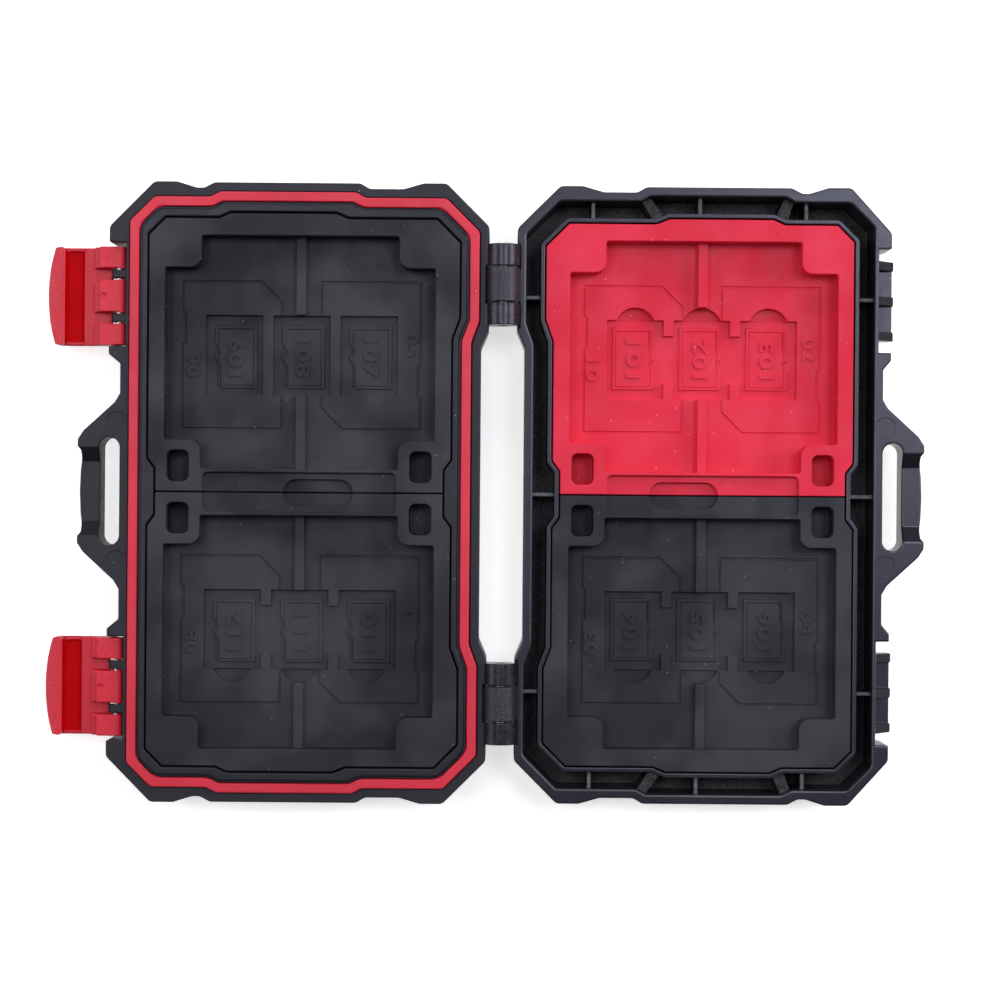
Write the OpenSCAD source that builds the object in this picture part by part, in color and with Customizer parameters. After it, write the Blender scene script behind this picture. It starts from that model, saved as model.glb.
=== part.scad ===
// Memory card case: two half shells on a hinge that shut like a small tool box.
// The lid carries a tongue with a seal ring round it, the base a moat that the tongue drops into.
// Four rubber inserts hold the cards. Two latches on the lid's front edge hook under the base's catches.
// The case lies open flat, base on +X, lid on -X, with the hinge line along Y, all in millimetres.
// The origin is the middle of the base's flat underside.

/* [Cards] */
// Width of a full size card, along X
card_w = 24; // [22:0.5:27]
// Length of a full size card, along Y
card_l = 32; // [29:0.5:36]
// Play round a full size card, on each side
card_play = 0.4; // [0.2:0.05:0.8]
// Depth of the full size card pocket below the insert's face
card_depth = 5; // [4.6:0.1:7]
// Width of the ridge that parts the two full size cards
ridge_w = 1.9; // [1:0.1:3]
// Height of that ridge over the pocket's floor
ridge_h = 2.1; // [1:0.1:3]
// Width of a small card recess, along X
micro_w = 11; // [10:0.1:12]
// Length of a small card recess, along Y
micro_l = 15.3; // [14:0.1:17]
// Depth of a small card recess below the pocket's floor
micro_depth = 1.2; // [0.8:0.1:1.8]
// Land between two small card recesses
micro_land = 1.95; // [1.2:0.05:2.6]
// Length of the land's two stubs where the recesses are joined
stub_l = 3.05; // [2:0.05:5]
// Radius of the thumb cut at a small card recess
thumb_r = 3.9; // [3:0.1:4.6]
// How far the thumb cut reaches past its recess
thumb_out = 2.45; // [1.5:0.05:3]
// How far the thumb cut goes below the floor of its recess
thumb_drop = 0.4; // [0.2:0.05:0.8]
// Width of the card shape raised in a small card recess
mark_w = 8.1; // [6:0.1:9]
// Length of that card shape
mark_l = 12.1; // [9:0.1:13]
// Height of that card shape over the floor of its recess
mark_rise = 0.35; // [0.2:0.05:0.6]
// Width of the groove that outlines each full size card
line_w = 0.4; // [0.2:0.05:0.6]
// Depth of that groove below the pocket's floor
line_depth = 0.25; // [0.1:0.05:0.4]
// Distance of that groove from the sides of the card's bed
line_in_w = 2.6; // [2:0.1:3.4]
// Distance of that groove from the ends of the card's bed
line_in_l = 2.05; // [1.5:0.05:3]
// Size of the clipped corner in that outline
line_clip = 4.2; // [3:0.1:5]

/* [Inserts] */
// Rubber left under the small card recesses
insert_floor = 2.3; // [1.5:0.1:4]
// Land from the seam between two inserts to the card pocket
seam_land = 9.95; // [9:0.05:12]
// Land from the hinge side edge to the card pocket
land_back = 3.15; // [2:0.05:5]
// Land from the front edge to the card pocket
land_front = 3.05; // [2:0.05:5]
// Land from the side edge to the finger room
land_side = 3.3; // [2:0.05:5]
// Length of the finger room past the cards' ends, along X
room_l = 37.65; // [30:0.05:42]
// Reach of the finger room past the cards, towards the seam
room_in = 5.5; // [4:0.1:6]
// Reach of the finger room past the cards, towards the side
room_out = 6.1; // [4:0.1:8]
// Gap at the seam between two inserts
seam_gap = 0.2; // [0.1:0.05:0.4]
// Gap between an insert and the shell round it
insert_gap = 0.25; // [0.15:0.05:0.4]
// How far the inserts are drawn in at the seam
pinch = 1.45; // [0.5:0.05:2]
// Half length of the drawn in stretch
pinch_half = 4.5; // [3:0.1:6]
// Width of a corner hole, along X
hole_w = 4.2; // [3:0.1:5]
// Length of a corner hole, along Y
hole_l = 5.9; // [4:0.1:6.5]
// Depth of a corner hole
hole_depth = 6; // [4:0.1:7]
// Depth of the shared trough over the seam
trough_depth = 1.2; // [0.8:0.1:2]
// Wall between the trough and the finger room
trough_wall = 0.7; // [0.6:0.05:1.2]
// Length of the finger slot in the trough
slot_l = 13.2; // [10:0.1:18]
// Width of the finger slot over both inserts
slot_w = 5; // [4:0.1:6]
// Depth of the finger slot below the trough
slot_depth = 1.4; // [0.8:0.1:2]

/* [Shells] */
// Thickness of the shells' floors
floor_t = 1.9; // [1.4:0.1:2.6]
// Thickness of the outer walls
wall_t = 1.75; // [1.5:0.05:2.2]
// Thickness of the base's inner wall round the inserts
inner_wall_t = 0.8; // [0.6:0.05:1]
// Depth of the base's rim below which its inserts sit
base_over = 1.6; // [1.4:0.1:3]
// How far the base's inner wall stands over its inserts
inner_over = 0.1; // [0:0.05:0.15]
// Height of the insert seat in the lid
lid_seat = 6.7; // [5:0.1:9]
// How far the lid's inserts stand over its rim
lid_proud = 1.2; // [0.8:0.05:1.25]
// Thickness of the tongue at the hinge side and the front
tongue_t = 1.6; // [1.4:0.05:2]
// Thickness of the tongue at the sides
tongue_side_t = 2; // [1.5:0.05:2.5]
// Height of the tongue over the lid's rim
tongue_rise = 1.4; // [1:0.05:1.5]
// Width of the low step along the tongue's outer side
step_w = 0.55; // [0.3:0.05:0.8]
// Height of that step over the lid's rim
step_rise = 0.45; // [0.2:0.05:0.8]
// Width of the seal ring
seal_w = 1.95; // [1.6:0.05:2.2]
// Depth of the seal's seat below the lid's rim
seal_seat = 1.6; // [1:0.1:2.5]
// Height of the seal over the lid's rim
seal_rise = 0.9; // [0.5:0.05:1.2]
// Gap between the seal and the wall that it meets
seal_gap = 0.08; // [0.04:0.01:0.15]
// Gap between the rims when the case is shut
rim_gap = 0.1; // [0.05:0.01:0.2]
// Distance from the hinge line to the hinge side wall
back_u = 4.2; // [4:0.05:5]
// How far the hinge pads stand out of that wall
pad_rise = 1.5; // [1:0.05:1.6]
// How far the corner lobes and the side bars stand out of the side walls
lobe_rise = 1.15; // [0.8:0.05:2]
// How far the seal line steps out behind the side bars
bump_rise = 1; // [0.5:0.05:1.1]
// Bevel round the shells' outer edges
edge_bevel = 2.2; // [1:0.1:3]
// Thickness of the ribs in the moat
rib_t = 0.8; // [0.6:0.05:1.2]
// Depth of the moat's ribs below the rim
rib_drop = 2.4; // [2:0.1:4]
// Thickness of the ribs under the lid's inserts
seat_rib_t = 1.4; // [1:0.1:2]
// Width of the ledge under the lid's inserts
seat_ledge = 1.3; // [1:0.1:2]

/* [Hinges] */
// Distance of each hinge from the case's side
hinge_in = 19.25; // [18.7:0.05:20.2]
// Diameter of the hinge barrels
barrel_d = 6.3; // [5.6:0.1:6.6]
// Length of the base's knuckle
base_knuckle = 6.6; // [5:0.1:7]
// Length of each of the lid's two knuckles
lid_knuckle = 4.2; // [3:0.1:4.4]
// Gap between two knuckles
knuckle_gap = 0.25; // [0.15:0.05:0.4]
// Gap round a barrel in the other shell's wall
relief_gap = 0.3; // [0.2:0.05:0.4]
// Diameter of the hinge pins
hinge_pin_d = 2; // [1.6:0.1:2.6]
// Play of a pin in its bore, on the radius
pin_play = 0.04; // [0.02:0.01:0.08]

/* [Latches] */
// Distance of each latch from the case's side
latch_in = 21.85; // [21.3:0.05:22.4]
// Width of a latch
latch_w = 18.8; // [17:0.1:19.2]
// Reach of a latch past its pin
latch_reach = 13.9; // [12.5:0.05:14.2]
// Thickness of a latch below its pin
latch_below = 4.1; // [3.8:0.1:4.5]
// Diameter of a latch's barrel
latch_barrel_d = 2.8; // [2.4:0.1:3]
// Diameter of the latch pins
latch_pin_d = 1.2; // [1:0.1:1.4]
// Depth of the latch pin below the lid's rim
latch_drop = 2.5; // [2.2:0.1:2.8]
// Width of the latch's middle knuckle
latch_knuckle = 6.5; // [5:0.1:7.5]
// Thickness of the lugs that carry the pin
lug_t = 1.6; // [1.2:0.05:2]
// Gap on each side of a lug
lug_gap = 0.15; // [0.1:0.05:0.25]
// Depth of the latch recess in the front walls
recess_in = 1; // [0.8:0.05:1.1]
// Room beside a latch, towards the middle of the case
recess_inner = 0.3; // [0.2:0.05:0.5]
// Room beside a latch, towards the side
recess_outer = 0.7; // [0.3:0.05:0.8]
// Depth of the catch ledge below the base's rim
catch_drop = 4.8; // [4.2:0.1:5]
// Thickness of the catch ledge
catch_t = 2.9; // [2:0.1:3]
// Reach of the catch ledge out of its recess
catch_out = 3.2; // [2.6:0.05:3.4]
// Length of the catch ledge
catch_l = 15.3; // [10:0.1:16]
// How far the catch lies off the latch's middle, towards the side
catch_shift = 0.4; // [0:0.05:0.6]
// Thickness of the three ramps on the ledge
ramp_t = 1.7; // [1:0.1:2.4]
// Distance between two ramps
ramp_pitch = 6.8; // [4:0.05:6.9]
// Thickness of the walls that close the groove's two ends
groove_end = 0.7; // [0.5:0.05:0.8]
// Radius of the finger tip's bulge
tip_r = 30; // [24:1:60]
// Diameter of the dimple in a latch's middle knuckle
dimple_d = 1; // [0.6:0.1:1.4]

/* [Handle] */
// Reach of the handle out of the front wall
handle_out = 8; // [7:0.1:10]
// Half length of the handle at the front wall
handle_half = 18.7; // [17:0.1:20]
// Half length of the handle at its outer edge
grip_half = 9.4; // [8:0.1:11]
// Thickness of each half of the handle
handle_t = 8; // [6:0.1:9.5]
// Width of the slot behind the grip
handle_slot = 3.9; // [2.4:0.1:4]
// Half length of that slot
slot_half = 10.3; // [8:0.1:11]
// Depth of the hollow in the grip
grip_drop = 1.7; // [1:0.1:2.5]
// Half length of that hollow
hollow_half = 8.4; // [7:0.1:9]
// Length of the hollow's two sloping ends
hollow_ramp = 2.7; // [1.5:0.1:4]
// Diameter of the ejector marks on the handle's arms
ejector_d = 3.9; // [3:0.1:4.2]

/* [Hidden] */
$fn = 48;

// How far a cut runs past the face that it opens
past = 1;
// Rounding of the shells' outline, of the seal line and of the pockets
shell_round = 1.6;
seal_round = 1.5;
pocket_round = 2.1;
pocket_corner = 0.5;

// A place on either half is u out from the hinge line, v along it, and z up from its own underside.
insert_back = back_u + wall_t + seal_w + tongue_t + insert_gap;
pocket_u0 = insert_back + land_back;
pocket_l = 2 * (card_w + 2 * card_play) + ridge_w;
pocket_w = card_l + 2 * card_play;
pocket_u = pocket_u0 + pocket_l / 2;
pocket_v = seam_land + pocket_w / 2;
insert_front = pocket_u0 + pocket_l + land_front;
insert_side = seam_land + pocket_w + room_out + land_side;
seal_side = insert_side + insert_gap + tongue_side_t + seal_w;
seal_front = insert_front + insert_gap + tongue_t + seal_w;
seal_back = back_u + wall_t;
front_u = seal_front + wall_t;
side_v = seal_side + wall_t;
half_len = side_v + lobe_rise;
mid_u = (back_u + front_u) / 2;
hinge_v = half_len - hinge_in;
latch_v = half_len - latch_in;

// Levels of the base, of the lid and of the hinge line between them
insert_t = insert_floor + micro_depth + card_depth;
base_h = floor_t + insert_t + base_over;
inner_h = floor_t + insert_t + inner_over;
lid_h = lid_seat + insert_t - lid_proud;
hinge_z = (base_h + lid_h + rim_gap) / 2;

// Small card recesses, in a row across the middle of the pocket
micro_count = 3;
micro_pitch = micro_w + micro_land;
room_w = pocket_w + room_in + room_out;
room_v = pocket_v + (room_out - room_in) / 2;
trough_half = seam_land - room_in - trough_wall;

// The row of small card recesses runs both ways from the pocket's middle
row_l = micro_count * micro_w + (micro_count - 1) * micro_land;
row_first = -(micro_count - 1) / 2;
// The raised card shape sits a little off its recess's middle, and its wavy edge steps in half way
mark_off_u = 0.3;
mark_off_v = 0.25;
mark_step = 1.1;
// Outline of a full size card's bed, its place in the bed, and the notch in its long side
line_x = card_w + 2 * card_play - 2 * line_in_w;
line_y = pocket_w - 2 * line_in_l;
line_u = (pocket_l - card_w - 2 * card_play) / 2;
notch_in = 0.5;
notch_from = 2.1;
notch_to = 8.2;
// The finger slot lies a little towards the hinge
slot_shift = 3.6;
// Rounding of the corner holes and of the trough
hole_round = 1.2;
trough_round = 1;
trough_end = 0.45;

// Hinge barrels and their stretch of wall, which stands out by a slope
hinge_l = base_knuckle + 2 * (lid_knuckle + knuckle_gap);
pad_u = back_u - pad_rise;
pad_in = hinge_v - hinge_l / 2 - 0.8;
pad_slope = 3.4;
barrel_r = barrel_d / 2;
relief_r = barrel_r + relief_gap;
hinge_bore = hinge_pin_d + 2 * pin_play;
hinge_pin_l = hinge_l - 0.4;

// Latches: d is the distance out from the pin and h the height over it while the latch lies open
recess_u = front_u - recess_in;
latch_r = latch_barrel_d / 2;
latch_pin_u = recess_u + latch_r + 0.1;
latch_pin_z = lid_h - latch_drop;
latch_bore = latch_pin_d + 2 * pin_play;
lug_v = latch_knuckle / 2 + lug_gap + lug_t / 2;
lug_r = 1.5;
catch_near = latch_drop + rim_gap + catch_drop;
catch_far = catch_near + catch_t;
catch_h = latch_pin_u - recess_u - catch_out;
hook_gap = 0.04;
hook_d = norm([catch_far, catch_h]) + hook_gap;
groove_d = catch_near - 0.3;
groove_h = catch_h - 1.1;
plate_h = catch_h - 0.45;
hook_h = 0.3;
block_d = latch_drop + 1.2;
step_d = block_d + 1.3;
recess_v0 = latch_v - latch_w / 2 - recess_inner;
recess_v1 = latch_v + latch_w / 2 + recess_outer;
// Blocks beside each latch, standing out a little more on the lid than on the base
block_w = 1.5;
block_slope = 1.9;
ear_w = 1.9;
ear_out = 1.5;
ear_extra = 0.7;
ear_slope = 1.2;

// Stations along a side, measured from the hinge end, then from the front end:
// slanted corner, end of the wave, foot of the wave, foot of the bar and its start
back_cut = 8.2;
back_wave = 12.5;
back_foot = 16.5;
back_bar_foot = 22.9;
back_bar = 24.7;
front_cut = 6.3;
front_wave = 10.7;
front_foot = 14.4;
front_bar_foot = 15.8;
front_bar = 17.8;
// Corners of the seal line and of the inserts, and how their steps lag behind the bar's
seal_cut = 6.4;
seal_cut_front = 4.7;
seal_lag = 0.7;
seal_lag_front = 1.2;
insert_cut = 4.4;
insert_cut_front = 3.2;
insert_lag = 3.9;
insert_slope = 2.4;
// Ejector marks on the handle's arms
ejector_u = front_u + 0.5;
ejector_v = slot_half + 3;
ejector_depth = 0.15;

// Points and their mirror image across the middle of the case
function both_sides(half) =
    concat(half, [for (i = [len(half) - 1:-1:0]) [half[i][0], -half[i][1]]]);

// Half outline of the shells, with a wave at each corner and a bar along the side
function shell_half(reach) = [
    [back_u, 0],
    [back_u, pad_in - pad_slope],
    [pad_u, pad_in],
    [pad_u, half_len - back_cut],
    [pad_u + back_cut, half_len],
    [pad_u + back_wave, half_len],
    [pad_u + back_foot, side_v],
    [pad_u + back_bar_foot, side_v],
    [pad_u + back_bar, half_len - 0.1],
    [front_u - front_bar, half_len - 0.1],
    [front_u - front_bar_foot, side_v],
    [front_u - front_foot, side_v],
    [front_u - front_wave, half_len],
    [front_u - front_cut, half_len],
    [front_u + reach, recess_v1 + ear_w + ear_slope],
    [front_u + reach, recess_v1],
    [front_u, recess_v1],
    [front_u, 0],
];

// Half outline of the seal line, the inner face of the outer walls
function seal_half() = [
    [seal_back, 0],
    [seal_back, pad_in - pad_slope + seal_lag],
    [seal_back - pad_rise, pad_in + 2 * seal_lag],
    [seal_back - pad_rise, seal_side - seal_cut],
    [seal_back - pad_rise + seal_cut, seal_side],
    [pad_u + back_bar_foot + seal_lag, seal_side],
    [pad_u + back_bar + seal_lag, seal_side + bump_rise],
    [front_u - front_bar - seal_lag_front, seal_side + bump_rise],
    [front_u - front_bar_foot - seal_lag_front, seal_side],
    [seal_front - seal_cut_front, seal_side],
    [seal_front, seal_side - seal_cut_front],
    [seal_front, 0],
];

// Half outline of a pair of inserts
function insert_half() = [
    [insert_back + pinch, 0],
    [insert_back + pinch, pinch_half],
    [insert_back, pinch_half + 2],
    [insert_back, pad_in - pad_slope + 2 * seal_lag],
    [insert_back - pad_rise, pad_in + 3 * seal_lag],
    [insert_back - pad_rise, insert_side - insert_cut],
    [insert_back - pad_rise + insert_cut, insert_side],
    [pad_u + back_bar_foot + insert_lag, insert_side],
    [pad_u + back_bar_foot + insert_lag + insert_slope, insert_side + bump_rise],
    [front_u - front_bar_foot - insert_lag - 1.4, insert_side + bump_rise],
    [front_u - front_bar_foot - insert_lag + 0.8, insert_side],
    [insert_front - insert_cut_front, insert_side],
    [insert_front, insert_side - insert_cut_front],
    [insert_front, pinch_half + 2],
    [insert_front - pinch, pinch_half],
    [insert_front - pinch, 0],
];

// Half outline of the handle, which swells out of the front wall and narrows to the grip
function handle_half_outline() = [
    [front_u - 1, handle_half + 0.2],
    [front_u, handle_half],
    [front_u + 1, handle_half - 1.7],
    [front_u + handle_out - 1.1, grip_half + 2.2],
    [front_u + handle_out, grip_half + 0.5],
    [front_u + handle_out, grip_half - 0.8],
    [front_u + handle_out - 0.6, grip_half - 1.6],
    [front_u + handle_out - 0.65, grip_half - 2.8],
    [front_u + handle_out - 0.35, grip_half - 5.4],
    [front_u + handle_out - 0.2, 0],
];

// Rounds the corners of a flat shape, the ones that point in as well
module soften(r) {
    offset(r = r) offset(r = -2 * r) offset(r = r) children();
}

// A rectangle round a centre, with round corners
module round_rect(size, r) {
    offset(r = r) square([size[0] - 2 * r, size[1] - 2 * r], center = true);
}

// Shape drawn twice, the second mirrored across the middle of the case
module both() {
    children();
    mirror([0, 1, 0]) children();
}

module seal_flat(grow = 0) {
    offset(delta = grow) soften(seal_round) polygon(both_sides(seal_half()));
}

module insert_flat(grow = 0) {
    offset(delta = grow) soften(0.4) polygon(both_sides(insert_half()));
}

module shell_flat(reach) {
    difference() {
        union() {
            difference() {
                soften(shell_round) polygon(both_sides(shell_half(reach)));
                both() translate([front_u, -1]) square([10, recess_v1 + 1]);
            }
            both() {
                polygon([
                    [front_u - 1, recess_v0],
                    [front_u + reach, recess_v0],
                    [front_u + reach, recess_v0 - block_w],
                    [front_u - 0.1, recess_v0 - block_w - block_slope],
                    [front_u - 1, recess_v0 - block_w - block_slope],
                ]);
                translate([front_u - 1, recess_v1 + 0.1]) square([reach + 1, ear_w]);
            }
        }
        both() translate([recess_u, recess_v0]) square([10, recess_v1 - recess_v0]);
    }
}

// Outline of the shells without their waves, with square corners cut off
module envelope_flat(reach) {
    polygon(both_sides([
        [pad_u, 0],
        [pad_u, half_len - back_cut],
        [pad_u + back_cut, half_len],
        [front_u - front_cut, half_len],
        [front_u + reach, recess_v1 + ear_w + ear_slope],
        [front_u + reach, 0],
    ]));
}

// Outer block of a shell, bevelled round its outer face
module shell_block(h, reach) {
    intersection() {
        linear_extrude(h) shell_flat(reach);
        hull() {
            translate([0, 0, -0.05]) linear_extrude(0.01) offset(delta = -edge_bevel) envelope_flat(reach);
            translate([0, 0, edge_bevel]) linear_extrude(h) offset(delta = 0.05) envelope_flat(reach);
        }
    }
}

// One half of the carrying handle, from the rim down, with a hollow in its grip
module handle_part(h) {
    bevel = 1.2;
    out_u = front_u + handle_out;
    difference() {
        intersection() {
            translate([0, 0, h - handle_t]) linear_extrude(handle_t)
                difference() {
                    soften(0.35) polygon(both_sides(handle_half_outline()));
                    translate([front_u + handle_slot / 2, 0])
                        round_rect([handle_slot, 2 * slot_half], handle_slot / 2 - 0.01);
                }
            rotate([90, 0, 0]) linear_extrude(2 * handle_half + 4, center = true)
                polygon([
                    [front_u - 2, h - handle_t],
                    [out_u - bevel, h - handle_t],
                    [out_u + past, h - handle_t + bevel + past],
                    [out_u + past, h],
                    [front_u - 2, h],
                ]);
        }
        translate([front_u + handle_slot, 0, 0]) rotate([90, 0, 90]) linear_extrude(handle_out)
            polygon([
                [-hollow_half, h + past],
                [-hollow_half, h],
                [hollow_ramp - hollow_half, h - grip_drop],
                [hollow_half - hollow_ramp, h - grip_drop],
                [hollow_half, h],
                [hollow_half, h + past],
            ]);
    }
}

// Round marks that the ejector pins leave on the handle's arms
module ejector_marks(h) {
    both() translate([ejector_u, ejector_v, h - ejector_depth]) cylinder(d = ejector_d, h = past);
}

// A hinge barrel with the web that ties it to its shell's wall, all below both rims beside the barrel
module knuckle(v, l) {
    web_top = -(lid_h - base_h + rim_gap) / 2 - 0.2;
    translate([0, v, hinge_z]) rotate([90, 0, 0]) {
        cylinder(d = barrel_d, h = l, center = true);
        linear_extrude(l, center = true)
            polygon([
                [0, 0],
                [0, -barrel_r],
                [pad_u + 1, -barrel_r - 1.6],
                [pad_u + 1, web_top],
                [pad_u - 0.5, web_top],
            ]);
    }
}

// Bore or relief along the hinge line, or a pin in it
module hinge_round(v, l, d) {
    translate([0, v, hinge_z]) rotate([90, 0, 0]) cylinder(d = d, h = l, center = true);
}

// The ramped ledge that a latch hooks under
module catch() {
    out_u = recess_u + catch_out;
    top = base_h - catch_drop;
    translate([recess_u - 0.5, -catch_l / 2, top - catch_t]) cube([catch_out + 0.5, catch_l, catch_t]);
    for (i = [-1:1])
        translate([0, i * ramp_pitch, 0]) rotate([90, 0, 0]) linear_extrude(ramp_t, center = true)
            polygon([
                [recess_u - 0.5, base_h - 1],
                [recess_u, base_h - 1],
                [out_u + 0.3, top],
                [out_u + 0.3, top - 0.7],
                [out_u, top - 1.3],
                [recess_u - 0.5, top - 1.3],
            ]);
}

// The two lugs that carry a latch's pin
module lugs() {
    root_u = recess_u - 0.5;
    for (side = [-1, 1])
        translate([0, side * lug_v, latch_pin_z]) rotate([90, 0, 0]) {
            translate([latch_pin_u, 0, 0]) cylinder(r = lug_r, h = lug_t, center = true);
            translate([root_u, -lug_r, -lug_t / 2]) cube([latch_pin_u - root_u, 2 * lug_r, lug_t]);
        }
}

// Flat plan of the moat between the base's two walls, less its cross ribs
module moat_flat(ribs) {
    difference() {
        seal_flat();
        insert_flat(insert_gap + inner_wall_t);
        if (ribs) {
            for (u = [pad_u + 14.5, mid_u - 0.8, front_u - 14.75])
                translate([u - rib_t / 2, -half_len]) square([rib_t, 2 * half_len]);
            for (v = [-latch_v - 0.5, 0, latch_v + 0.5])
                translate([0, v - rib_t / 2]) square([front_u, rib_t]);
            both() moat_webs();
        }
    }
}

// Slanting webs in the moat where the seal line steps out
module moat_webs() {
    polygon([
        [pad_u + 23.6, seal_side + 0.5],
        [pad_u + 25.2, seal_side + bump_rise + 0.5],
        [pad_u + 29.4, insert_side],
        [pad_u + 27.2, insert_side - 1],
    ]);
    polygon([
        [front_u - 17, seal_side + 0.5],
        [front_u - 18.8, seal_side + bump_rise + 0.5],
        [front_u - 21.4, insert_side],
        [front_u - 19, insert_side - 1],
    ]);
}

// The base in its own half's place
module base_half() {
    difference() {
        union() {
            shell_block(base_h, ear_out);
            handle_part(base_h);
            both() {
                knuckle(hinge_v, base_knuckle);
                translate([0, latch_v + catch_shift, 0]) catch();
            }
        }
        translate([0, 0, floor_t]) linear_extrude(base_h) insert_flat(insert_gap);
        translate([0, 0, inner_h]) linear_extrude(base_h) seal_flat();
        translate([0, 0, base_h - rib_drop]) linear_extrude(base_h) moat_flat(false);
        translate([0, 0, floor_t]) linear_extrude(base_h) moat_flat(true);
        ejector_marks(base_h);
        both() {
            hinge_round(hinge_v, base_knuckle + 2, hinge_bore);
            for (side = [-1, 1])
                hinge_round(hinge_v + side * ((base_knuckle + lid_knuckle) / 2 + knuckle_gap),
                            lid_knuckle + 2 * knuckle_gap, 2 * relief_r);
        }
    }
}

// Flat plan of the hollows under the lid's inserts, between the ribs that they rest on
module seat_hollows_flat() {
    difference() {
        insert_flat(insert_gap - seat_ledge);
        translate([0, -seat_ledge]) square([front_u, 2 * seat_ledge]);
        for (v = [-pocket_v, pocket_v])
            translate([0, v - seat_rib_t / 2]) square([front_u, seat_rib_t]);
        for (i = [-1:1])
            translate([pocket_u + i * micro_pitch - seat_rib_t / 2, -half_len])
                square([seat_rib_t, 2 * half_len]);
    }
}

// The lid in its own half's place, before it is mirrored to the hinge's other side
module lid_half() {
    difference() {
        union() {
            shell_block(lid_h, ear_out + ear_extra);
            translate([0, 0, lid_h - 1]) linear_extrude(step_rise + 1) seal_flat(-seal_w);
            translate([0, 0, lid_h - 1]) linear_extrude(tongue_rise + 1) seal_flat(-seal_w - step_w);
            handle_part(lid_h);
            both() {
                for (side = [-1, 1])
                    knuckle(hinge_v + side * ((base_knuckle + lid_knuckle) / 2 + knuckle_gap), lid_knuckle);
                translate([0, latch_v, 0]) lugs();
            }
        }
        translate([0, 0, lid_seat]) linear_extrude(lid_h) insert_flat(insert_gap);
        translate([0, 0, floor_t]) linear_extrude(lid_h) seat_hollows_flat();
        translate([0, 0, lid_h - seal_seat]) linear_extrude(seal_seat + past)
            difference() {
                seal_flat();
                seal_flat(-seal_w);
            }
        ejector_marks(lid_h);
        both() {
            hinge_round(hinge_v, hinge_l + 1, hinge_bore);
            hinge_round(hinge_v, base_knuckle + 2 * knuckle_gap, 2 * relief_r);
            translate([latch_pin_u, latch_v, latch_pin_z]) rotate([90, 0, 0])
                cylinder(d = latch_bore, h = 2 * lug_v + lug_t + 1, center = true);
        }
    }
}

// The seal ring, which fills its seat and stands over the lid's rim
module gasket_half() {
    translate([0, 0, lid_h - seal_seat]) linear_extrude(seal_seat + seal_rise)
        difference() {
            seal_flat(-seal_gap);
            seal_flat(-seal_w);
        }
}

// Flat plan of one pair of card pockets, a cross of the cards' bed and the finger room
module pocket_flat() {
    offset(r = pocket_corner) offset(delta = -pocket_corner)
        offset(r = -pocket_round) offset(delta = pocket_round)
            union() {
                translate([pocket_u, pocket_v]) square([pocket_l, pocket_w], center = true);
                translate([pocket_u, room_v]) square([room_l, room_w], center = true);
            }
}

// Draws its children once at the middle of each small card recess
module each_recess() {
    for (i = [0:micro_count - 1])
        translate([pocket_u + (row_first + i) * micro_pitch, pocket_v]) children();
}

// Flat plan of the small card recesses: three apart, or joined across the lands between them
module micro_flat(joined) {
    each_recess() square([micro_w, micro_l], center = true);
    if (joined)
        translate([pocket_u, pocket_v]) square([row_l, micro_l - 2 * stub_l], center = true);
}

// Flat plan of the thumb cuts, half moons past the recesses' outer ends
module thumb_flat() {
    intersection() {
        each_recess() translate([0, micro_l / 2 + thumb_out - thumb_r]) circle(r = thumb_r);
        translate([pocket_u - row_l / 2, pocket_v + micro_l / 2]) square([row_l, 2 * thumb_out]);
    }
}

// Small card's shape, its contact end towards +Y, with the wavy edge on +X
module mark_flat() {
    side = mark_w / 2;
    end = mark_l / 2;
    polygon([
        [-side, -end],
        [side - mark_step, -end],
        [side - mark_step, -1.75],
        [side, -0.3],
        [side, 0.35],
        [side - 0.95, 0.6],
        [side - 0.95, 1.3],
        [side, 2.4],
        [side, end - 0.3],
        [side - 0.3, end],
        [-side, end],
    ]);
}

// Outline of a full size card, with a clipped corner at +X and +Y and a notch in its -X side
module line_outline(grow) {
    side = line_x / 2;
    end = line_y / 2;
    offset(delta = grow)
        polygon([
            [-side, -end],
            [side, -end],
            [side, end - line_clip],
            [side - line_clip, end],
            [-side, end],
            [-side, notch_to],
            [notch_in - side, notch_to - 0.3],
            [notch_in - side, notch_from + 0.3],
            [-side, notch_from],
        ]);
}

// Flat plan of the grooves round both full size cards' beds, the second turned half a turn
module line_flat() {
    for (turn = [0, 180])
        rotate(turn) translate([-line_u, 0]) difference() {
            line_outline(0);
            line_outline(-line_w);
        }
}

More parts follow.
